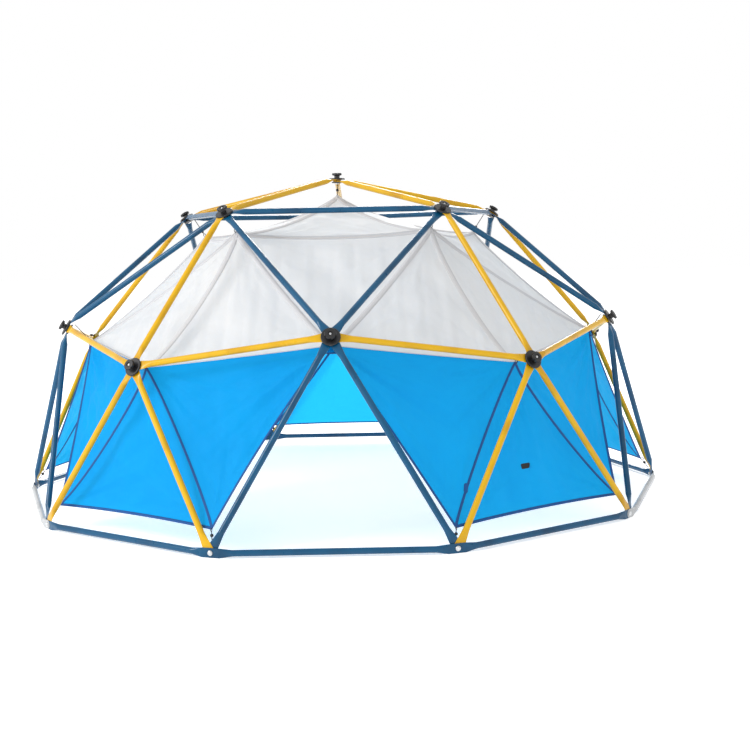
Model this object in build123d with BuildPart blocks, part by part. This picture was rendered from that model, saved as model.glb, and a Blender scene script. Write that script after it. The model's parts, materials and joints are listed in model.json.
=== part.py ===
"""Ten-foot climbing dome with a tied-in canopy.

A two-frequency geodesic dome: 26 hubs joined by 65 steel tubes with pinched ends, on a
ten-sided base. A sewn canopy with a white roof and five blue walls hangs inside the
frame on elastic ties, and leaves a triangular doorway under each of the five door hubs.

Millimetres, +Z up. The origin is on the ground below the middle of the dome, and door 1
faces -Y. Doors and walls are numbered towards +X, so door 2 and wall 1 are on the +X side.
"""
from build123d import *
import os
from math import cos, radians, sin

# ---- Dome ----
DOME_RADIUS = 1524.0  # bolt circle of the hubs, half of ten feet
CROWN_DROP = 60.0  # the top hub sits this far below the sphere
RING_1_POLAR = 31.717  # angles from straight up, from the icosahedron
DOOR_HUB_POLAR = 58.283
WALL_HUB_POLAR = 63.435
BASE_POLAR = 90.0

# ---- Tubes ----
TUBE_DIAMETER = 25.4
TUBE_WALL = 1.0
TAB_WIDTH = 38.0  # half of the tube's girth once it is pressed flat
TAB_THICKNESS = 2 * TUBE_WALL
TAB_PITCH = 2.1  # tabs in a stack, with their paint
TAB_LENGTH = 38.0  # bolt to the start of the pinch
PINCH_LENGTH = 48.0  # flat tab to round tube
CAVITY_START = 8.0  # the pinched walls part this far up the pinch
CAVITY_SLOT = (33.0, 0.6)
BASE_HEIGHT = TAB_WIDTH / 2  # the tabs of the base hubs stand on the ground

# ---- Hub hardware ----
BOLT_DIAMETER = 10.0
BOLT_HOLE_DIAMETER = 10.6
BOLT_HEAD_FLATS = 16.0
BOLT_HEAD_HEIGHT = 6.4
BOLT_TIP = 1.5  # bolt end above the knob
PLATE_DIAMETER = 78.0
PLATE_THICKNESS = 7.0
PLATE_ROUND = 3.0
WASHER_DIAMETER = 50.0
WASHER_THICKNESS = 5.0
WASHER_ROUND = 1.5
FACE_GAP = 0.3  # between a turning knob and its plate
KNOB_HEIGHT = 24.0
KNOB_NECK_DIAMETER = 26.0
KNOB_NECK_HEIGHT = 11.0
KNOB_TOP_DIAMETER = 47.0
KNOB_LOBES = 6
KNOB_LOBE_GROOVE_DIAMETER = 12.0
KNOB_GROOVE_CIRCLE = 26.5
KNOB_RECESS_DIAMETER = 20.0
KNOB_RECESS_DEPTH = 3.0
BASE_HEAD_DIAMETER = 22.0
BASE_HEAD_HEIGHT = 6.0
BASE_NUT_HEIGHT = 8.0

# ---- Canopy ----
CLOTH_THICKNESS = 2.0
SEAM_GAP = 0.15
# How far each kind of canopy corner hangs from its hub: towards the middle, and up the dome
CORNER_HANG = {
    "top": (64.0, 0.0),
    "ring": (105.0, 25.0),
    "door": (95.0, 0.0),
    "wall": (70.0, 25.0),
    "base": (50.0, 75.0),
}
# Corners round the front whose ties have settled longer or shorter, by kind and azimuth
OWN_HANG = {
    ("ring", 36): (98.0, 28.0),
    ("ring", 108): (120.0, 36.0),
    ("ring", 252): (117.0, 34.0),
    ("ring", 324): (96.0, 18.0),
    ("door", 0): (66.0, 0.0),
    ("door", 288): (118.0, 0.0),
    ("wall", 36): (92.0, 30.0),
    ("wall", 324): (56.0, 23.0),
    ("base", -18): (16.0, 86.0),
    ("base", 18): (16.0, 74.0),
}
TIE_DIAMETER = 3.5
TIE_ANCHOR_RADIUS = 30.0  # ties leave the hub at the rim of its inner washer
TIE_CORNER_GAP = 6.0
BALL_DIAMETER = 14.0
BALL_SETBACK = 16.0  # end of the tie to the middle of its ball

DOME_CENTRE = Vector(0, 0, BASE_HEIGHT)
COUNT = 5
STEP = 360 / COUNT


class Hub:
    """One bolted joint of the frame, with its outward normal and the tubes that meet there."""

    def __init__(self, kind, polar, azimuth, drop=0.0):
        self.kind = kind
        self.azimuth = azimuth
        self.normal = direction(polar, azimuth)
        self.point = DOME_CENTRE + self.normal * DOME_RADIUS - Vector(0, 0, drop)
        self.uphill = direction(polar - 90, azimuth)
        self.arms = []

    def level(self, strut):
        """Height of a strut's tab in the stack, from the middle of the stack."""
        return (self.arms.index(strut) - (len(self.arms) - 1) / 2) * TAB_PITCH

    def half_stack(self):
        """Half the height of the stack of tabs."""
        return ((len(self.arms) - 1) * TAB_PITCH + TAB_THICKNESS) / 2

    def plane(self, height=0.0):
        """Plane across the bolt, with its Z axis pointing out of the dome."""
        return Plane(origin=self.point + self.normal * height, x_dir=self.uphill, z_dir=self.normal)


def direction(polar, azimuth):
    """Unit vector at an angle from straight up, azimuth 0 facing -Y and 90 facing +X."""
    across = sin(radians(polar))
    return Vector(across * sin(radians(azimuth)), -across * cos(radians(azimuth)), cos(radians(polar)))


top = Hub("top", 0, 0, CROWN_DROP)
ring = [Hub("ring", RING_1_POLAR, STEP * (k + 0.5)) for k in range(COUNT)]
door = [Hub("door", DOOR_HUB_POLAR, STEP * k) for k in range(COUNT)]
wall = [Hub("wall", WALL_HUB_POLAR, STEP * (k + 0.5)) for k in range(COUNT)]
# Each door stands between a left and a right base hub
base_left = [Hub("base", BASE_POLAR, STEP * k - 18) for k in range(COUNT)]
base_right = [Hub("base", BASE_POLAR, STEP * k + 18) for k in range(COUNT)]
upper_hubs = [top] + ring + door + wall
base_hubs = base_left + base_right


def join(first, second):
    """Adds a tube between two hubs, on top of the tabs already stacked there."""
    strut = (first, second)
    first.arms.append(strut)
    second.arms.append(strut)
    return strut


door_struts = [[join(door[k], base_left[k]), join(door[k], base_right[k])] for k in range(COUNT)]
wall_struts = [
    [
        join(wall[k], base_right[k]),
        join(wall[k], base_left[(k + 1) % COUNT]),
        join(wall[k], door[k]),
        join(wall[k], door[(k + 1) % COUNT]),
    ]
    for k in range(COUNT)
]
roof_struts = [
    [
        join(ring[k], door[k]),
        join(ring[k], door[(k + 1) % COUNT]),
        join(ring[k], ring[(k + 1) % COUNT]),
    ]
    for k in range(COUNT)
]
crown_struts = [[join(top, ring[k]), join(ring[k], wall[k])] for k in range(COUNT)]
wall_foot_struts = [[join(base_right[k], base_left[(k + 1) % COUNT])] for k in range(COUNT)]
door_sill_struts = [[join(base_left[k], base_right[k])] for k in range(COUNT)]


def pinch(flat_plane, round_plane, flat_size, radius):
    """Body that changes from a flat oval to a round section."""
    with BuildPart() as body:
        with BuildSketch(flat_plane):
            Ellipse(flat_size[0] / 2, flat_size[1] / 2)
        with BuildSketch(round_plane):
            Circle(radius)
        loft()
    return body.part


def strut_end(strut, hub):
    """The tab's seat at the hub, the tab's direction and the point where its pinch starts."""
    other = strut[0] if hub is strut[1] else strut[1]
    seat = hub.point + hub.normal * hub.level(strut)
    reach = other.point - hub.point
    along = (reach - hub.normal * reach.dot(hub.normal)).normalized()
    return seat, along, seat + along * TAB_LENGTH


def make_strut(strut):
    """Steel tube with a flat, drilled tab at each end, bent to lie in its hub's plane."""
    starts = [strut_end(strut, hub)[2] for hub in strut]
    axis = (starts[1] - starts[0]).normalized()
    width = axis.cross(strut[0].normal).normalized()
    tube_length = (starts[1] - starts[0]).length - 2 * PINCH_LENGTH
    round_planes = [
        Plane(origin=starts[0] + axis * PINCH_LENGTH, x_dir=width, z_dir=axis),
        Plane(origin=starts[1] - axis * PINCH_LENGTH, x_dir=width, z_dir=axis),
    ]
    inner_radius = TUBE_DIAMETER / 2 - TUBE_WALL
    pinches = []
    hollows = []
    for hub, start, round_plane, sign in zip(strut, starts, round_planes, (1, -1)):
        along = strut_end(strut, hub)[1] * sign
        flat_plane = Plane(origin=start, x_dir=width, z_dir=along)
        slot_plane = Plane(origin=start + axis * sign * CAVITY_START, x_dir=width, z_dir=along)
        pinches.append(pinch(flat_plane, round_plane, (TAB_WIDTH, TAB_THICKNESS), TUBE_DIAMETER / 2))
        hollows.append(pinch(slot_plane, round_plane, CAVITY_SLOT, inner_radius))
    with BuildPart() as cavity:
        with BuildSketch(round_planes[0]):
            Circle(inner_radius)
        extrude(amount=tube_length)
        add(hollows)
    with BuildPart() as tube:
        with BuildSketch(round_planes[0]):
            Circle(TUBE_DIAMETER / 2)
        extrude(amount=tube_length)
        add(pinches)
        for hub in strut:
            seat, along, _ = strut_end(strut, hub)
            with BuildSketch(Plane(origin=seat, x_dir=along, z_dir=hub.normal)):
                with Locations((TAB_LENGTH / 2, 0)):
                    Rectangle(TAB_LENGTH, TAB_WIDTH)
                Circle(TAB_WIDTH / 2)
                Circle(BOLT_HOLE_DIAMETER / 2, mode=Mode.SUBTRACT)
            extrude(amount=TAB_THICKNESS / 2, both=True)
        add(cavity.part, mode=Mode.SUBTRACT)
    return tube.part


os.makedirs("parts", exist_ok=True)


def write(part, name):
    """Labels a finished sub-part and writes its STEP file."""
    part.label = name
    export_step(part, f"parts/{name}.step")


strut_groups = {
    "crown_struts": crown_struts,
    "roof_struts": roof_struts,
    "wall_struts": wall_struts,
    "door_struts": door_struts,
    "door_sill": door_sill_struts,
    "wall_foot": wall_foot_struts,
}
for group_name, group in strut_groups.items():
    for number, struts in enumerate(group, start=1):
        with BuildPart() as strut_set:
            for each in struts:
                add(make_strut(each))
        write(strut_set.part, f"{group_name}_{number}")

# ---- Hub hardware, each made once about +Z and then set on its hubs ----
with BuildPart() as plate:
    Cylinder(PLATE_DIAMETER / 2, PLATE_THICKNESS, align=(Align.CENTER, Align.CENTER, Align.MIN))
    fillet(plate.edges().filter_by(GeomType.CIRCLE).sort_by(Axis.Z)[-1], PLATE_ROUND)
    Hole(BOLT_HOLE_DIAMETER / 2)

with BuildPart() as washer:
    Cylinder(WASHER_DIAMETER / 2, WASHER_THICKNESS, align=(Align.CENTER, Align.CENTER, Align.MAX))
    fillet(washer.edges().filter_by(GeomType.CIRCLE).sort_by(Axis.Z)[0], WASHER_ROUND)
    Hole(BOLT_HOLE_DIAMETER / 2)

with BuildPart() as knob:
    with BuildSketch():
        Circle(KNOB_NECK_DIAMETER / 2)
    extrude(amount=KNOB_NECK_HEIGHT)
    with BuildSketch(Plane.XY.offset(KNOB_NECK_HEIGHT)):
        Circle(KNOB_NECK_DIAMETER / 2)
    with BuildSketch(Plane.XY.offset(KNOB_NECK_HEIGHT + 4)):
        Circle(KNOB_TOP_DIAMETER / 2)
    loft()
    with BuildSketch(Plane.XY.offset(KNOB_NECK_HEIGHT + 4)):
        Circle(KNOB_TOP_DIAMETER / 2)
    extrude(amount=KNOB_HEIGHT - KNOB_NECK_HEIGHT - 4)
    fillet(knob.edges().filter_by(GeomType.CIRCLE).sort_by(Axis.Z)[-1], 3)
    with BuildSketch(Plane.XY.offset(KNOB_NECK_HEIGHT)):
        with PolarLocations(KNOB_GROOVE_CIRCLE, KNOB_LOBES):
            Circle(KNOB_LOBE_GROOVE_DIAMETER / 2)
    extrude(amount=KNOB_HEIGHT, mode=Mode.SUBTRACT)
    with BuildSketch(Plane.XY.offset(KNOB_HEIGHT - KNOB_RECESS_DEPTH)):
        Circle(KNOB_RECESS_DIAMETER / 2)
    extrude(amount=KNOB_RECESS_DEPTH, mode=Mode.SUBTRACT)
    Hole(BOLT_HOLE_DIAMETER / 2)


def hub_bolt(half_stack):
    """Hex bolt through an upper hub: head below the washer, tip above the knob."""
    head_seat = -half_stack - WASHER_THICKNESS
    tip = half_stack + PLATE_THICKNESS + FACE_GAP + KNOB_HEIGHT - KNOB_RECESS_DEPTH + BOLT_TIP
    with BuildPart() as bolt:
        with BuildSketch(Plane.XY.offset(head_seat)):
            RegularPolygon(BOLT_HEAD_FLATS / 2, 6, major_radius=False)
        extrude(amount=-BOLT_HEAD_HEIGHT)
        with BuildSketch(Plane.XY.offset(head_seat)):
            Circle(BOLT_DIAMETER / 2)
        extrude(amount=tip - head_seat)
        chamfer(bolt.edges().filter_by(GeomType.CIRCLE).sort_by(Axis.Z)[-1], 1)
    return bolt.part


with BuildPart() as hub_plates:
    for hub in upper_hubs:
        with Locations(hub.plane(hub.half_stack()).location):
            add(plate.part)
write(hub_plates.part, "hub_plates")

with BuildPart() as hub_washers:
    for hub in upper_hubs:
        with Locations(hub.plane(-hub.half_stack()).location):
            add(washer.part)
write(hub_washers.part, "hub_washers")

with BuildPart() as hub_bolts:
    for hub in upper_hubs:
        with Locations(hub.plane().location):
            add(hub_bolt(hub.half_stack()))
write(hub_bolts.part, "hub_bolts")

knob_names = ["top_knob"]
for kind in ("ring_knob", "door_knob", "wall_knob"):
    knob_names += [f"{kind}_{number}" for number in range(1, COUNT + 1)]
for name, hub in zip(knob_names, upper_hubs):
    with BuildPart() as hub_knob:
        with Locations(hub.plane(hub.half_stack() + PLATE_THICKNESS + FACE_GAP).location):
            add(knob.part)
    write(hub_knob.part, name)

base_half_stack = base_left[0].half_stack()
with BuildPart() as base_bolt:
    with BuildSketch(Plane.XY.offset(-base_half_stack - BASE_NUT_HEIGHT - 2)):
        Circle(BOLT_DIAMETER / 2)
    extrude(amount=2 * base_half_stack + BASE_NUT_HEIGHT + 2)
    with BuildSketch(Plane.XY.offset(base_half_stack)):
        Circle(BASE_HEAD_DIAMETER / 2)
    extrude(amount=BASE_HEAD_HEIGHT)
    fillet(base_bolt.edges().filter_by(GeomType.CIRCLE).sort_by(Axis.Z)[-1], 4.5)

with BuildPart() as base_nut:
    with BuildSketch(Plane.XY.offset(-base_half_stack)):
        RegularPolygon(BOLT_HEAD_FLATS / 2, 6, major_radius=False)
    extrude(amount=-BASE_NUT_HEIGHT)
    Hole(BOLT_DIAMETER / 2)

for name, piece in (("base_bolts", base_bolt.part), ("base_nuts", base_nut.part)):
    with BuildPart() as fasteners:
        for hub in base_hubs:
            with Locations(hub.plane().location):
                add(piece)
    write(fasteners.part, name)


# ---- Canopy: flat panels sewn edge to edge, hung inside the frame ----
def corner(hub):
    """Corner of the canopy that is tied to a hub."""
    inward, up = OWN_HANG.get((hub.kind, hub.azimuth), CORNER_HANG[hub.kind])
    return hub.point - hub.normal * inward + hub.uphill * up


def cloth_panel(hubs):
    """Triangular cloth panel between three corners, with its inside towards the dome's middle."""
    points = [corner(hub) for hub in hubs]
    middle = (points[0] + points[1] + points[2]) / 3
    shrink = 1 - 2 * SEAM_GAP / (points[1] - points[0]).length
    outline = [middle + (point - middle) * shrink for point in points]
    outward = (outline[1] - outline[0]).cross(outline[2] - outline[0]).normalized()
    depth = abs((middle - DOME_CENTRE).dot(outward))
    inside = [DOME_CENTRE + (point - DOME_CENTRE) * (1 - CLOTH_THICKNESS / depth) for point in outline]
    with BuildPart() as panel:
        for face_points in (outline, inside):
            face_plane = Plane(
                origin=face_points[0], x_dir=face_points[1] - face_points[0], z_dir=outward
            )
            flat = [face_plane.to_local_coords(point) for point in face_points]
            with BuildSketch(face_plane):
                with BuildLine():
                    Polyline(*[(point.X, point.Y) for point in flat], close=True)
                make_face()
        loft()
    return panel.part


crown_panels = []
band_panels = []
wall_panels = []
for k in range(COUNT):
    ahead = (k + 1) % COUNT
    crown_panels.append((top, ring[k], ring[ahead]))
    band_panels += [
        (ring[k], wall[k], door[k]),
        (ring[k], wall[k], door[ahead]),
        (ring[k], ring[ahead], door[ahead]),
    ]
    wall_panels.append(
        [
            (door[k], wall[k], base_right[k]),
            (wall[k], base_right[k], base_left[ahead]),
            (wall[k], door[ahead], base_left[ahead]),
        ]
    )
canopy = {"canopy_crown": crown_panels, "canopy_roof": band_panels}
for number, panels in enumerate(wall_panels, start=1):
    canopy[f"canopy_wall_{number}"] = panels
for name, panels in canopy.items():
    with BuildPart() as cloth:
        for panel_hubs in panels:
            add(cloth_panel(panel_hubs))
    write(cloth.part, name)


# ---- Elastic ties from the hubs' inner side to the canopy corners, each with a ball ----
def tie_points(hub):
    """Where a tie leaves its hub, where it reaches the canopy, and its direction."""
    depth = hub.half_stack() + WASHER_THICKNESS + BOLT_HEAD_HEIGHT
    anchor = hub.point - hub.normal * depth + hub.uphill * TIE_ANCHOR_RADIUS
    target = corner(hub) + hub.normal * CLOTH_THICKNESS
    along = (target - anchor).normalized()
    return anchor, target - along * TIE_CORNER_GAP, along


def cord(start, end):
    """Straight round cord between two points."""
    with BuildPart() as run:
        with BuildSketch(Plane(origin=start, z_dir=end - start)):
            Circle(TIE_DIAMETER / 2)
        extrude(amount=(end - start).length)
    return run.part


with BuildPart() as corner_ties:
    for hub in upper_hubs + base_hubs:
        anchor, end, along = tie_points(hub)
        ball = end - along * BALL_SETBACK
        add(cord(anchor, ball - along * BALL_DIAMETER / 2))
        add(cord(ball + along * BALL_DIAMETER / 2, end))
write(corner_ties.part, "corner_ties")

with BuildPart() as tie_balls:
    for hub in upper_hubs + base_hubs:
        anchor, end, along = tie_points(hub)
        with Locations(end - along * BALL_SETBACK):
            Sphere(BALL_DIAMETER / 2)
write(tie_balls.part, "tie_balls")
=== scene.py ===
"""Climbing dome with a canopy tied inside it: the visual model and its studio.

The steel tubes, hubs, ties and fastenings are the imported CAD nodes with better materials. The
white roof and the five blue walls are built here as continuous sheets that hang from the
same corners, with seam tapes, hems, door gussets, corner loops, a seam tab and a blank label.
Metres, +Z up. Doors and walls are numbered from the front (-Y) towards +X.
"""
import json
from math import cos, radians, sin, tau

import bmesh
import bpy
import numpy as np
from mathutils import Matrix, Vector


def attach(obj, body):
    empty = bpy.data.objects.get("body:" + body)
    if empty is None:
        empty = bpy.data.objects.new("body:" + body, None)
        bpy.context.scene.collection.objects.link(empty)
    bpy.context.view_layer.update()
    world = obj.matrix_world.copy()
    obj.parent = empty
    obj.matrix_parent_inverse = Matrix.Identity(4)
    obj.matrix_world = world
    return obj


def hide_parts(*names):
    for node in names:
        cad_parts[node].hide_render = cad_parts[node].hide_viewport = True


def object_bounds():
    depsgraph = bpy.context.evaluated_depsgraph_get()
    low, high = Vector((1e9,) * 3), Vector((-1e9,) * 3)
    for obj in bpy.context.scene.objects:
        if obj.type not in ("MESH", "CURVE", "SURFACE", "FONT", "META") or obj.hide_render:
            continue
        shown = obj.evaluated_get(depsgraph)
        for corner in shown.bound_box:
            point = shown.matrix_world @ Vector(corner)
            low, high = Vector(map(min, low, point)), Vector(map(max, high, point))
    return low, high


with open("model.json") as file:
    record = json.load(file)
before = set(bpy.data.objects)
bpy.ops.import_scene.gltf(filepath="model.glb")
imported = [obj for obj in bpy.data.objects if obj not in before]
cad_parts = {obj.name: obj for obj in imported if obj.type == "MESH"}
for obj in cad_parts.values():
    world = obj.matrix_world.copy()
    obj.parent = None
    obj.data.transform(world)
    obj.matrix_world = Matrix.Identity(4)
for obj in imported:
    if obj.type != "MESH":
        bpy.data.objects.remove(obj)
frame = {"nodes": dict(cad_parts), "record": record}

cad_low, cad_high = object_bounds()
FRAME_BODY = "dome"

# ---- Dome, as in the CAD model ----
SIDES = 5
SECTOR = 360 / SIDES
DOME_RADIUS = 1.524
CENTRE = np.array([0.0, 0.0, 0.019])
CROWN_DROP = 0.060
POLAR = {"top": 0.0, "ring": 31.717, "door": 58.283, "wall": 63.435, "base": 90.0}
# How far each canopy corner hangs from its hub: towards the centre, and uphill.
CORNER_HANG = {
    "top": (0.064, 0.0),
    "ring": (0.105, 0.025),
    "door": (0.095, 0.0),
    "wall": (0.070, 0.025),
    "base": (0.050, 0.075),
}
# The ties round the front have settled longer or shorter, by kind and azimuth.
OWN_HANG = {
    ("ring", 36): (0.098, 0.028),
    ("ring", 108): (0.120, 0.036),
    ("ring", 252): (0.117, 0.034),
    ("ring", 324): (0.096, 0.018),
    ("door", 0): (0.066, 0.0),
    ("door", 288): (0.118, 0.0),
    ("wall", 36): (0.092, 0.030),
    ("wall", 324): (0.056, 0.023),
    ("base", -18): (0.016, 0.086),
    ("base", 18): (0.016, 0.074),
}

# ---- Cloth ----
CLOTH_STEPS = 64  # cells along each side of a triangle
SEAM_SAG = {  # how far the middle of each seam hangs inside the straight line
    ("ring", "top"): 0.050,
    ("ring", "ring"): 0.033,
    ("door", "ring"): 0.024,
    ("ring", "wall"): 0.052,
    ("door", "wall"): 0.008,
    ("base", "wall"): 0.040,
    ("base", "door"): 0.006,
    ("base", "base"): 0.004,
}
SAG_POWER = 0.62  # below 1, so that a seam drops fast beside its tied corners
MIDDLE_SAG = 0.75  # how much the middle of a panel is held back
BOTTOM_HOLLOW = 0.009  # how far a wall's bottom hem curves up
DOOR_HOLLOW = 0.006  # how far a doorway's hem curves into the wall
FRONT_LEFT_HOLLOW = 0.020  # the hem left of the front door is slacker
FRONT_ROOF_SAG = 0.056  # the two seams above the front door are the slackest
ROOF_TAPE_WIDTH = 0.025
WALL_TAPE_WIDTH = 0.012
HEM_WIDTH = 0.009
TAPE_THICKNESS = 0.0022
STRIP_STEPS = 72
WELD = 0.0002  # points of neighbouring panels closer than this become one
GUSSET_DEPTH = 0.040
GUSSET_THICKNESS = 0.0012
GUSSET_HEM_SHARE = 0.16  # of the gusset's height
GUSSET_HEM_THICKNESS = 0.0028

# ---- Folds: heights and lengths in metres ----
WALL_FANS = {"door": 0.0150, "wall": 0.0105, "base": 0.0055}  # by kind of corner
ROOF_FANS = {"top": 0.0030, "ring": 0.0050, "door": 0.0042, "wall": 0.0042}
FAN_FOLDS = (2.5, 4.5, 7.5, 12.0)  # folds across a corner, from broad to fine
FAN_FADE = 0.42  # share of the panel over which a corner's folds die down
FAN_START = 0.16  # share of the panel over which they rise from the corner
HANGING_FOLDS = ((0.155, 0.0018), (0.083, 0.0014), (0.047, 0.0006))  # length, height
SLACK_SWELLS = ((0.42, 0.0060), (0.23, 0.0042), (0.12, 0.0018))  # length, height
SWELLS_EACH = 3
SEAM_CALM = 0.085  # share of the panel beside a seam where folds fade to nothing

# ---- Label, tab and corner loops: places as shares of a panel's corners ----
LABEL_PLACE = (0.297, 0.371, 0.332)
LABEL_GAP = 0.0003
TAB_PLACE = (0.220, 0.006, 0.774)
TAB_GAP = 0.0012
TAB_TILT = -20
LOOP_RADIUS = 0.006
LOOP_CORD = 0.003
LOOP_GAP = 0.004

# ---- Studio and camera ----
FLOOR_HALF = 40.0
FLOOR_GAP = 0.0005  # the floor is this far below the tubes
FLOOR_GLOW = 0.40
CAMERA_PLACE = (0.1807, -6.1687, 1.1836)
CAMERA_YAW, CAMERA_PITCH, CAMERA_ROLL = radians(-0.145), radians(-5.991), radians(-1.119)
CAMERA_LENS = 60.63
CAMERA_SENSOR = 36
WAVES_PER_SCALE = 3.2  # bands a metre in the wave texture when its scale is 1


# ---- Places ----
def hub_normal(polar, azimuth):
    p, a = radians(polar), radians(azimuth)
    return np.array([sin(p) * sin(a), -sin(p) * cos(a), cos(p)])


def hub_point(kind, azimuth):
    point = CENTRE + hub_normal(POLAR[kind], azimuth) * DOME_RADIUS
    if kind == "top":
        point[2] -= CROWN_DROP
    return point


def canopy_corner(kind, azimuth):
    inward, uphill = OWN_HANG.get((kind, round(azimuth)), CORNER_HANG[kind])
    outward = hub_normal(POLAR[kind], azimuth)
    return hub_point(kind, azimuth) - outward * inward + hub_normal(POLAR[kind] - 90, azimuth) * uphill


CORNERS = {"top": ("top", canopy_corner("top", 0))}
for k in range(SIDES):
    CORNERS[f"door_{k}"] = ("door", canopy_corner("door", SECTOR * k))
    CORNERS[f"ring_{k}"] = ("ring", canopy_corner("ring", SECTOR * (k + 0.5)))
    CORNERS[f"wall_{k}"] = ("wall", canopy_corner("wall", SECTOR * (k + 0.5)))
    CORNERS[f"left_{k}"] = ("base", canopy_corner("base", SECTOR * (k - 0.25)))
    CORNERS[f"right_{k}"] = ("base", canopy_corner("base", SECTOR * (k + 0.25)))


def following(k):
    return (k + 1) % SIDES


def roof_panels():
    panels = []
    for k in range(SIDES):
        n = following(k)
        panels.append(("top", f"ring_{k}", f"ring_{n}"))
        panels.append((f"ring_{k}", f"door_{k}", f"wall_{k}"))
        panels.append((f"ring_{k}", f"wall_{k}", f"door_{n}"))
        panels.append((f"ring_{k}", f"door_{n}", f"ring_{n}"))
    return panels


def wall_panels(k):
    n = following(k)
    return [
        (f"wall_{k}", f"door_{k}", f"right_{k}"),
        (f"wall_{k}", f"right_{k}", f"left_{n}"),
        (f"wall_{k}", f"left_{n}", f"door_{n}"),
    ]


# ---- Shape of the cloth ----
def kinds(panel):
    return [CORNERS[name][0] for name in panel]


def seam_sag(name_a, name_b):
    pair = tuple(sorted((CORNERS[name_a][0], CORNERS[name_b][0])))
    if pair == ("door", "ring") and "door_0" in (name_a, name_b):
        return FRONT_ROOF_SAG
    return SEAM_SAG[pair]


def hem_hollow(name_a, name_b):
    if {name_a, name_b} == {"door_0", "left_0"}:
        return FRONT_LEFT_HOLLOW
    return DOOR_HOLLOW if "door" in (CORNERS[name_a][0], CORNERS[name_b][0]) else BOTTOM_HOLLOW


def smooth(x):
    x = np.clip(x, 0, 1)
    return x * x * (3 - 2 * x)


def panel_seed(panel):
    return sum((i + 1) * ord(c) for i, c in enumerate("".join(panel))) % 997


def wrinkles(panel, weights, flat):
    """How far folds lift the cloth of one panel, nothing at its seams."""
    random = np.random.default_rng(panel_seed(panel))
    is_wall = "base" in kinds(panel)
    height = np.zeros(len(flat))
    for i in range(3):
        own, one, other = weights[:, i], weights[:, (i + 1) % 3], weights[:, (i + 2) % 3]
        reach = 1 - own
        share = one / np.maximum(one + other, 1e-6)
        strength = (WALL_FANS if is_wall else ROOF_FANS)[kinds(panel)[i]]
        fan = np.zeros(len(flat))
        for folds in FAN_FOLDS:
            phase, bend = random.uniform(0, tau, 2)
            fan += np.sin(tau * folds * share + phase + 0.9 * np.sin(5 * reach + bend)) / folds**0.6
        height += strength * fan * np.exp(-reach / FAN_FADE) * smooth(reach / FAN_START)
    # Long soft folds that hang straight down.
    azimuth = np.arctan2(flat[:, 0], -flat[:, 1])
    around = azimuth * np.hypot(flat[:, 0], flat[:, 1])
    if not is_wall and "top" not in panel:
        for length, size in HANGING_FOLDS:
            phase, bend = random.uniform(0, tau, 2)
            height += size * np.sin(tau * around / length + phase + 0.8 * np.sin(flat[:, 2] * 9 + bend))
    # Slack in the cloth, in broad uneven swells.
    for length, size in SLACK_SWELLS:
        for _ in range(SWELLS_EACH):
            heading = random.normal(size=3)
            heading /= np.linalg.norm(heading)
            height += size * np.sin(tau * (flat @ heading) / length + random.uniform(0, tau)) / 2
    inside = smooth(weights.min(axis=1) / SEAM_CALM)
    return height * inside


def panel_points(panel, weights):
    """Points of a panel's cloth at barycentric weights."""
    weights = np.asarray(weights, float)
    corners = np.array([CORNERS[name][1] for name in panel])
    kind = kinds(panel)
    flat = weights @ corners
    depth = np.zeros(len(flat))
    for i, j in ((0, 1), (1, 2), (2, 0)):
        near = np.clip(4 * weights[:, i] * weights[:, j], 0, 1)
        depth += seam_sag(panel[i], panel[j]) * near**SAG_POWER
    depth /= 1 + MIDDLE_SAG * 27 * weights.prod(axis=1)
    for i, j, far in ((0, 1, 2), (1, 2, 0), (2, 0, 1)):
        pair = {kind[i], kind[j]}
        if pair == {"base"} or pair == {"base", "door"}:
            hollow = hem_hollow(panel[i], panel[j])
            bow = 4 * weights[:, i] * weights[:, j] * hollow
            middle = (corners[i] + corners[j]) / 2
            inward = (corners[far] - middle) / np.linalg.norm(corners[far] - middle)
            flat = flat + bow[:, None] * inward
    outward = flat - CENTRE
    outward /= np.linalg.norm(outward, axis=1)[:, None]
    rise = wrinkles(panel, weights, flat) - depth
    return flat + outward * rise[:, None]


def panel_grid(steps):
    rows = [(a, b, steps - a - b) for a in range(steps + 1) for b in range(steps + 1 - a)]
    place = {(a, b): i for i, (a, b, _) in enumerate(rows)}
    faces = []
    for a in range(steps):
        for b in range(steps - a):
            faces.append((place[a, b], place[a + 1, b], place[a, b + 1]))
            if a + b < steps - 1:
                faces.append((place[a + 1, b], place[a + 1, b + 1], place[a, b + 1]))
    return np.array(rows, float) / steps, faces


def outward_faces(points, faces):
    """The faces, turned so that they all look away from the middle of the dome."""
    turned = []
    for face in faces:
        a, b, c = (points[i] for i in face[:3])
        looks_out = np.cross(b - a, c - a) @ ((a + b + c) / 3 - CENTRE) > 0
        turned.append(tuple(face) if looks_out else tuple(reversed(face)))
    return turned


# ---- Objects ----
def add_mesh(name, points, faces, material, weld=0.0):
    mesh = bpy.data.meshes.new(name)
    mesh.from_pydata([tuple(p) for p in points], [], [tuple(f) for f in faces])
    piece = bpy.data.objects.new(name, mesh)
    bpy.context.scene.collection.objects.link(piece)
    if weld:
        shape = bmesh.new()
        shape.from_mesh(mesh)
        bmesh.ops.remove_doubles(shape, verts=shape.verts, dist=weld)
        shape.to_mesh(mesh)
        shape.free()
    for polygon in mesh.polygons:
        polygon.use_smooth = True
    mesh.materials.append(material)
    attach(piece, FRAME_BODY)
    return piece


def cloth_sheet(name, panels, material):
    weights, faces = panel_grid(CLOTH_STEPS)
    points, all_faces = [], []
    for panel in panels:
        start = len(points)
        made = panel_points(panel, weights)
        points.extend(made)
        all_faces.extend(tuple(start + i for i in face) for face in outward_faces(made, faces))
    return add_mesh(name, points, all_faces, material, weld=WELD)


def thicken(piece, thickness):
    solid = piece.modifiers.new("thickness", "SOLIDIFY")
    solid.thickness = thickness
    solid.offset = 0
    return piece


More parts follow.
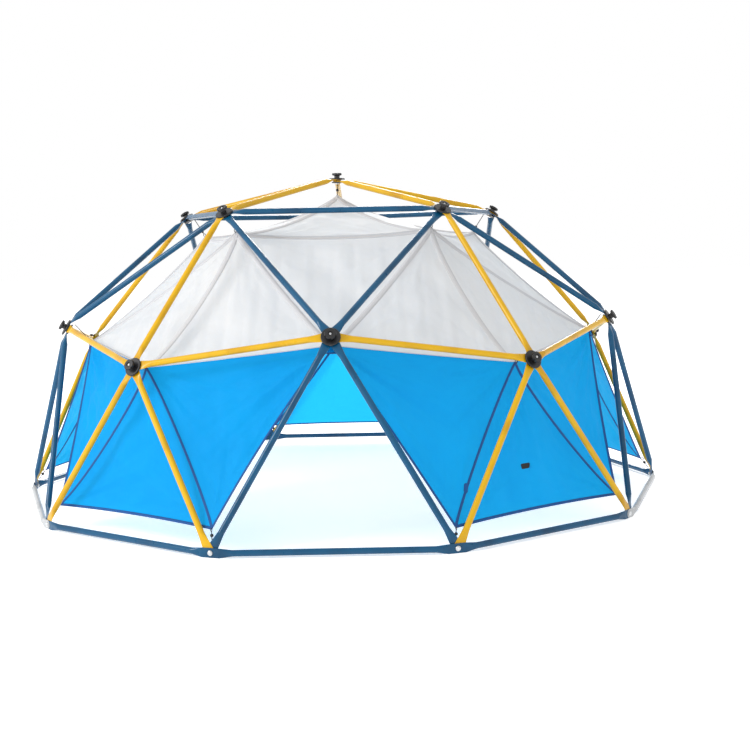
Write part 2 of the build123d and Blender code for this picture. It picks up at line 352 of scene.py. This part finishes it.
def height_over(panel, i, j):
    """How far a panel's third corner is from the side between corners i and j."""
    a, b = CORNERS[panel[i]][1], CORNERS[panel[j]][1]
    far = CORNERS[panel[3 - i - j]][1]
    return np.linalg.norm(np.cross(b - a, far - a)) / np.linalg.norm(b - a)


def strip_rows(panel, name_a, name_b, width):
    """Weights of a strip along one side of a panel, from the side to width inside it."""
    i, j = panel.index(name_a), panel.index(name_b)
    inner = width / height_over(panel, i, j)
    rows = []
    for across in (0.0, inner * 0.5, inner):
        line = np.zeros((STRIP_STEPS + 1, 3))
        along = np.linspace(0, 1, STRIP_STEPS + 1)
        line[:, i] = (1 - along) * (1 - across)
        line[:, j] = along * (1 - across)
        line[:, 3 - i - j] = across
        rows.append(line)
    return rows


def add_strip(points, faces, lines):
    """Adds a band of faces through lines of points."""
    start, count = len(points), len(lines[0])
    for line in lines:
        points.extend(line)
    for row in range(len(lines) - 1):
        for i in range(count - 1):
            a = start + row * count + i
            faces.append((a, a + 1, a + count + 1, a + count))


def strips(name, material, width, seams=(), hems=()):
    """One piece of tape over seams, given as (panel, panel, end, end), and hems (panel, end, end)."""
    points, faces = [], []
    for one, other, a, b in seams:
        lines = [panel_points(one, w) for w in reversed(strip_rows(one, a, b, width / 2))]
        lines += [panel_points(other, w) for w in strip_rows(other, a, b, width / 2)[1:]]
        add_strip(points, faces, lines)
    for panel, a, b in hems:
        add_strip(points, faces, [panel_points(panel, w) for w in strip_rows(panel, a, b, width)])
    faces = outward_faces(points, faces)
    return thicken(add_mesh(name, points, faces, material), TAPE_THICKNESS)


def shared_seams(panels):
    """Every side that two of the panels share, as (panel, panel, end, end)."""
    seams = []
    for n, one in enumerate(panels):
        for other in panels[n + 1 :]:
            both = [name for name in one if name in other]
            if len(both) == 2:
                seams.append((one, other, *both))
    return seams


def open_sides(panels):
    """Every side that only one of the panels has, as (panel, end, end)."""
    sides = []
    for panel in panels:
        for a, b in ((0, 1), (1, 2), (2, 0)):
            ends = {panel[a], panel[b]}
            if sum(ends <= set(p) for p in panels) == 1:
                sides.append((panel, panel[a], panel[b]))
    return sides


# ---- Materials ----
def colour(red, green, blue):
    """A linear colour from screen values of 0 to 255."""
    made = []
    for value in (red, green, blue):
        value /= 255
        made.append(value / 12.92 if value <= 0.04045 else ((value + 0.055) / 1.055) ** 2.4)
    return (*made, 1.0)


class Shading:
    """A node material under construction."""

    def __init__(self, name):
        self.material = bpy.data.materials.new(name)
        self.material.use_nodes = True
        self.tree = self.material.node_tree
        self.shader = self.tree.nodes["Principled BSDF"]
        self.output = self.tree.nodes["Material Output"]
        self.place = self.node("ShaderNodeTexCoord").outputs["Object"]

    def node(self, kind, **settings):
        made = self.tree.nodes.new(kind)
        for key, value in settings.items():
            setattr(made, key, value)
        return made

    def link(self, source, target):
        self.tree.links.new(source, target)

    def noise(self, scale, detail=3.0, stretch=(1, 1, 1), distortion=0.0):
        mapping = self.node("ShaderNodeMapping")
        mapping.inputs["Scale"].default_value = stretch
        self.link(self.place, mapping.inputs["Vector"])
        made = self.node("ShaderNodeTexNoise")
        made.inputs["Scale"].default_value = scale
        made.inputs["Detail"].default_value = detail
        made.inputs["Distortion"].default_value = distortion
        self.link(mapping.outputs["Vector"], made.inputs["Vector"])
        return made.outputs["Fac"]

    def ramp(self, source, low, high, start=0.3, end=0.7):
        made = self.node("ShaderNodeValToRGB")
        made.color_ramp.elements[0].position = start
        made.color_ramp.elements[1].position = end
        made.color_ramp.elements[0].color = low
        made.color_ramp.elements[1].color = high
        self.link(source, made.inputs["Fac"])
        return made.outputs["Color"]

    def remap(self, source, low, high):
        made = self.node("ShaderNodeMapRange")
        made.inputs["To Min"].default_value = low
        made.inputs["To Max"].default_value = high
        self.link(source, made.inputs["Value"])
        return made.outputs["Result"]

    def bump(self, source, distance, strength=1.0, after=None):
        made = self.node("ShaderNodeBump")
        made.inputs["Distance"].default_value = distance
        made.inputs["Strength"].default_value = strength
        self.link(source, made.inputs["Height"])
        if after is not None:
            self.link(after, made.inputs["Normal"])
        return made.outputs["Normal"]

    def weave(self, pitch):
        """Crossed threads, as heights."""
        heights = []
        for axis in ("X", "Z"):
            wave = self.node("ShaderNodeTexWave", bands_direction=axis)
            wave.inputs["Scale"].default_value = 1 / pitch / WAVES_PER_SCALE
            wave.inputs["Distortion"].default_value = 0.6
            self.link(self.place, wave.inputs["Vector"])
            heights.append(wave.outputs["Fac"])
        both = self.node("ShaderNodeMath", operation="MAXIMUM")
        self.link(heights[0], both.inputs[0])
        self.link(heights[1], both.inputs[1])
        return both.outputs["Value"]


def painted_steel(name, main, worn):
    """Powder coat: slightly dimpled, a little darker and duller where hands and shoes rub it."""
    s = Shading(name)
    rubbed = s.noise(5.5, 5.0, distortion=0.4)
    s.link(s.ramp(rubbed, worn, main, 0.30, 0.52), s.shader.inputs["Base Color"])
    s.link(s.remap(s.noise(38, 4.0), 0.20, 0.42), s.shader.inputs["Roughness"])
    dimples = s.bump(s.noise(900, 2.0), 0.00008, 0.5)
    s.link(s.bump(s.noise(60, 3.0), 0.0002, 0.35, dimples), s.shader.inputs["Normal"])
    s.shader.inputs["Specular IOR Level"].default_value = 0.30
    s.shader.inputs["Coat Weight"].default_value = 0.10
    s.shader.inputs["Coat Roughness"].default_value = 0.15
    return s.material


def zinc_plate(name):
    s = Shading(name)
    bright = s.ramp(s.noise(240, 4.0), colour(176, 178, 180), colour(226, 227, 228))
    s.link(bright, s.shader.inputs["Base Color"])
    s.link(s.remap(s.noise(420, 3.0), 0.18, 0.38), s.shader.inputs["Roughness"])
    s.shader.inputs["Metallic"].default_value = 1.0
    s.link(s.bump(s.noise(1500, 2.0), 0.00005), s.shader.inputs["Normal"])
    return s.material


def moulded_plastic(name):
    """Black nylon with a fine spark-eroded grain."""
    s = Shading(name)
    s.link(s.ramp(s.noise(60, 4.0), colour(14, 14, 15), colour(28, 28, 30)), s.shader.inputs["Base Color"])
    s.link(s.remap(s.noise(300, 3.0), 0.28, 0.46), s.shader.inputs["Roughness"])
    s.link(s.bump(s.noise(2200, 2.0), 0.0001, 0.6), s.shader.inputs["Normal"])
    return s.material


def elastic_cord(name):
    """A braided elastic cord."""
    s = Shading(name)
    s.link(s.ramp(s.weave(0.0016), colour(20, 20, 22), colour(52, 52, 56)), s.shader.inputs["Base Color"])
    s.shader.inputs["Roughness"].default_value = 0.78
    s.link(s.bump(s.weave(0.0016), 0.0003), s.shader.inputs["Normal"])
    return s.material


def thin_cloth(name, main, shade, glow, through):
    """Coated polyester: a fine weave, small creases, soft patches of painted shade and light that comes
    through it.
    """
    s = Shading(name)
    # Painted shade: soft random patches darken the cloth towards its shade colour, standing in for the
    # shade of its folds.
    shade_patches = s.noise(3.0, 4.0)
    main_colour = s.ramp(shade_patches, shade, main, 0.25, 0.60)
    s.link(main_colour, s.shader.inputs["Base Color"])
    s.link(s.remap(s.noise(45, 3.0), 0.48, 0.66), s.shader.inputs["Roughness"])
    s.shader.inputs["Specular IOR Level"].default_value = 0.06
    threads = s.bump(s.weave(0.0013), 0.00012, 0.35)
    creases = s.bump(s.noise(14, 5.0, (1.6, 1.6, 0.5), 0.6), 0.0045, 0.30, threads)
    s.link(creases, s.shader.inputs["Normal"])
    lit = s.node("ShaderNodeBsdfTranslucent")
    lit.inputs["Color"].default_value = glow
    s.link(creases, lit.inputs["Normal"])
    mix = s.node("ShaderNodeMixShader")
    mix.inputs["Fac"].default_value = through
    s.link(s.shader.outputs["BSDF"], mix.inputs[1])
    s.link(lit.outputs["BSDF"], mix.inputs[2])
    s.link(mix.outputs["Shader"], s.output.inputs["Surface"])
    return s.material


def webbing(name, main, shade):
    """Sewn tape with a rib across it and a faint line of thread."""
    s = Shading(name)
    s.link(s.ramp(s.weave(0.0018), shade, main, 0.1, 0.6), s.shader.inputs["Base Color"])
    s.shader.inputs["Roughness"].default_value = 0.72
    ribs = s.bump(s.weave(0.0018), 0.0004, 0.6)
    s.link(s.bump(s.noise(70, 3.0), 0.0008, 0.5, ribs), s.shader.inputs["Normal"])
    return s.material


yellow_paint = painted_steel("yellow_powder_coat", colour(206, 160, 6), colour(182, 134, 5))
blue_paint = painted_steel("blue_powder_coat", colour(0, 74, 110), colour(0, 56, 87))
grey_paint = painted_steel("grey_powder_coat", colour(176, 178, 180), colour(148, 150, 152))
zinc = zinc_plate("zinc_plate")
plastic = moulded_plastic("black_nylon")
elastic = elastic_cord("black_elastic_cord")
# The second colour of each cloth is its painted shade, used for the soft fold patches.
white_cloth = thin_cloth(
    "white_polyester", colour(214, 212, 210), colour(206, 204, 203), colour(236, 233, 230), 0.34
)
blue_cloth = thin_cloth(
    "blue_polyester", colour(0, 130, 202), colour(0, 116, 190), colour(44, 206, 255), 0.36
)
# Painted shade: the roof's tapes and hem are grey, standing in for the shade they make in the translucent
# white roof.
white_tape = webbing("painted_shade_grey_seam_tape", colour(198, 198, 201), colour(184, 184, 188))
blue_tape = webbing("blue_seam_tape", colour(0, 74, 140), colour(0, 57, 115))
label_cloth = webbing("black_label", colour(18, 18, 20), colour(8, 8, 9))

SLOT_MATERIALS = {
    "yellow_paint": yellow_paint,
    "blue_paint": blue_paint,
    "grey_paint": grey_paint,
    "zinc_steel": zinc,
    "black_plastic": plastic,
    "white_cloth": white_cloth,
    "blue_cloth": blue_cloth,
    "black_elastic": elastic,
}


def dress_cad_nodes():
    for part in frame["record"]["subparts"]:
        node = frame["nodes"][part["node"]]
        node.data.materials.clear()
        node.data.materials.append(SLOT_MATERIALS[part["material_slot"]])


def make_roof():
    panels = roof_panels()
    roof = cloth_sheet("roof_sheet", panels, white_cloth)
    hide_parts("canopy_crown", "canopy_roof")
    tapes = strips("roof_seam_tapes", white_tape, ROOF_TAPE_WIDTH, seams=shared_seams(panels))
    hem = strips("roof_hem", white_tape, HEM_WIDTH, hems=open_sides(panels))


def make_wall(k):
    panels = wall_panels(k)
    number = k + 1
    wall = cloth_sheet(f"wall_sheet_{number}", panels, blue_cloth)
    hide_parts(f"canopy_wall_{number}")
    seams = shared_seams(panels)
    tapes = strips(f"wall_seam_tapes_{number}", blue_tape, WALL_TAPE_WIDTH, seams=seams)
    free = [side for side in open_sides(panels) if "base" in (CORNERS[side[1]][0], CORNERS[side[2]][0])]
    hem = strips(f"wall_hem_{number}", blue_tape, HEM_WIDTH, hems=free)


def make_gussets():
    """A small blue patch across the top of each doorway, with a hem along its bottom."""
    points, faces, hem_points, hem_faces = [], [], [], []
    for k in range(SIDES):
        top = CORNERS[f"door_{k}"][1]
        sides = []
        for name in (f"left_{k}", f"right_{k}"):
            down = CORNERS[name][1] - top
            sides.append(top + down / np.linalg.norm(down) * GUSSET_DEPTH)
        add_strip(points, faces, [np.array([top, top + (sides[0] - top) * 0.5, sides[0]]),
                                  np.array([top, top + (sides[1] - top) * 0.5, sides[1]])])
        rise = (top - (sides[0] + sides[1]) / 2) * GUSSET_HEM_SHARE
        add_strip(hem_points, hem_faces, [np.array([sides[0], sides[1]]),
                                          np.array([sides[0] + rise, sides[1] + rise])])
    faces = outward_faces(points, faces)
    hem_faces = outward_faces(hem_points, hem_faces)
    gussets = add_mesh("door_gussets", points, faces, blue_cloth, weld=WELD)
    thicken(gussets, GUSSET_THICKNESS)
    hems = add_mesh("door_gusset_hems", hem_points, hem_faces, blue_tape)
    thicken(hems, GUSSET_HEM_THICKNESS)


# ---- Small pieces on the canopy ----
def frame_on_panel(panel, weights):
    """A matrix on a panel's cloth: X level, Y uphill and Z outward."""
    step = 0.01
    middle = panel_points(panel, [weights])[0]
    one = panel_points(panel, [np.array(weights) + [step, -step, 0]])[0] - middle
    two = panel_points(panel, [np.array(weights) + [0, step, -step]])[0] - middle
    outward = Vector(np.cross(one, two)).normalized()
    if outward.dot(Vector(middle - CENTRE)) < 0:
        outward = -outward
    level = Vector((0, 0, 1)).cross(outward).normalized()
    uphill = outward.cross(level)
    made = Matrix((level, uphill, outward)).transposed().to_4x4()
    made.translation = Vector(middle)
    return made


def rounded_plate(name, matrix, material, *, width, height, round_by, thickness):
    """A plate with round corners and a bevelled rim, lying in its matrix's XY plane."""
    sharp = 1.2
    shape = bmesh.new()
    outline = []
    for across, up, start in ((1, 1, 0), (-1, 1, 90), (-1, -1, 180), (1, -1, 270)):
        for turn in range(0, 91, 15):
            a = radians(start + turn)
            x = across * (width / 2 - round_by) + round_by * cos(a)
            y = up * (height / 2 - round_by) + round_by * sin(a)
            outline.append(shape.verts.new((x, y, 0)))
    face = shape.faces.new(outline)
    raised = bmesh.ops.extrude_face_region(shape, geom=[face])["geom"]
    for vertex in (v for v in raised if isinstance(v, bmesh.types.BMVert)):
        vertex.co.z += thickness
    bmesh.ops.recalc_face_normals(shape, faces=shape.faces)
    bmesh.ops.bevel(shape, geom=[e for e in shape.edges if e.calc_face_angle(0) > sharp],
                    offset=thickness * 0.3, segments=2, affect="EDGES")
    mesh = bpy.data.meshes.new(name)
    shape.to_mesh(mesh)
    shape.free()
    piece = bpy.data.objects.new(name, mesh)
    bpy.context.scene.collection.objects.link(piece)
    piece.matrix_world = matrix
    mesh.materials.append(material)
    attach(piece, FRAME_BODY)
    return piece


def make_label_and_tab():
    """A blank woven label and a small folded tab, both on the wall right of the front door."""
    panels = wall_panels(0)
    label_at = frame_on_panel(panels[1], LABEL_PLACE) @ Matrix.Translation((0, 0, LABEL_GAP))
    rounded_plate("wall_label", label_at, label_cloth,
                  width=0.050, height=0.022, round_by=0.005, thickness=0.0012)
    tab_at = frame_on_panel(panels[0], TAB_PLACE) @ Matrix.Translation((0, 0, TAB_GAP))
    tab_at = tab_at @ Matrix.Rotation(radians(TAB_TILT), 4, "Z")
    rounded_plate("seam_tab", tab_at, blue_tape,
                  width=0.018, height=0.040, round_by=0.008, thickness=0.0030)


def ring_mesh(points, faces, centre, axis, radius, thickness, around=28, section=10):
    """Adds a torus to points and faces."""
    turn = Vector(axis).to_track_quat("Z", "Y").to_matrix()
    start = len(points)
    for i in range(around):
        a = tau * i / around
        for j in range(section):
            b = tau * j / section
            out = radius + thickness / 2 * cos(b)
            local = Vector((out * cos(a), out * sin(a), thickness / 2 * sin(b)))
            points.append(np.array(turn @ local) + centre)
    for i in range(around):
        for j in range(section):
            p, q = i * section, (i + 1) % around * section
            n = (j + 1) % section
            faces.append((start + p + j, start + q + j, start + q + n, start + p + n))


def make_corner_loops():
    """A loop of cord through each canopy corner, where its elastic tie hooks on."""
    points, faces = [], []
    for name, (kind, corner) in CORNERS.items():
        outward = corner - CENTRE
        outward /= np.linalg.norm(outward)
        level = np.cross([0, 0, 1], outward)
        level = level if np.linalg.norm(level) > 0.1 else np.array([1.0, 0, 0])
        ring_mesh(points, faces, corner + outward * LOOP_GAP, level, LOOP_RADIUS, LOOP_CORD)
    add_mesh("corner_loops", points, faces, elastic)


# ---- Studio ----
def add_area(name, place, target, size, power):
    lamp = bpy.data.lights.new(name, "AREA")
    lamp.shape = "DISK"
    lamp.size = size
    lamp.energy = power
    made = bpy.data.objects.new(name, lamp)
    made.location = place
    made.rotation_euler = (Vector(target) - Vector(place)).to_track_quat("-Z", "Y").to_euler()
    bpy.context.scene.collection.objects.link(made)


def make_studio():
    world = bpy.data.worlds.new("studio")
    world.use_nodes = True
    world.node_tree.nodes["Background"].inputs["Color"].default_value = (1, 1, 1, 1)
    world.node_tree.nodes["Background"].inputs["Strength"].default_value = 1.0
    bpy.context.scene.world = world
    bpy.context.scene.view_settings.view_transform = "Standard"
    mesh = bpy.data.meshes.new("floor")
    level = cad_low.z - FLOOR_GAP
    corners = [(x * FLOOR_HALF, y * FLOOR_HALF, level) for x, y in ((-1, -1), (1, -1), (1, 1), (-1, 1))]
    mesh.from_pydata(corners, [], [(0, 1, 2, 3)])
    floor = bpy.data.objects.new("floor", mesh)
    bpy.context.scene.collection.objects.link(floor)
    s = Shading("pale_floor")
    pale = s.ramp(s.noise(0.8, 2.0), colour(244, 244, 244), colour(248, 248, 248))
    s.link(pale, s.shader.inputs["Base Color"])
    s.shader.inputs["Roughness"].default_value = 0.9
    s.shader.inputs["Emission Color"].default_value = (1, 1, 1, 1)
    s.shader.inputs["Emission Strength"].default_value = FLOOR_GLOW
    mesh.materials.append(s.material)
    middle = (cad_low + cad_high) / 2
    add_area("key", (-5.4, -3.4, 3.6), middle, size=2.2, power=240)
    add_area("back", (0.4, 6.5, 3.4), middle, size=3.5, power=420)


def make_camera():
    """The photograph's view: eye height a little under the roof ring, looking slightly down."""
    yaw, pitch, roll = CAMERA_YAW, CAMERA_PITCH, CAMERA_ROLL
    ahead = np.array([sin(yaw) * cos(pitch), cos(yaw) * cos(pitch), sin(pitch)])
    level = np.array([cos(yaw), -sin(yaw), 0])
    upright = np.cross(level, ahead)
    right = cos(roll) * level + sin(roll) * upright
    up = -sin(roll) * level + cos(roll) * upright
    lens = bpy.data.cameras.new("camera")
    lens.lens = CAMERA_LENS
    lens.sensor_width = CAMERA_SENSOR
    camera = bpy.data.objects.new("camera", lens)
    turn = Matrix((Vector(right), Vector(up), Vector(-ahead))).transposed().to_4x4()
    camera.matrix_world = Matrix.Translation(CAMERA_PLACE) @ turn
    bpy.context.scene.collection.objects.link(camera)
    bpy.context.scene.camera = camera


dress_cad_nodes()
make_roof()
for k in range(SIDES):
    make_wall(k)
make_gussets()
make_label_and_tab()
make_corner_loops()
make_studio()
make_camera()
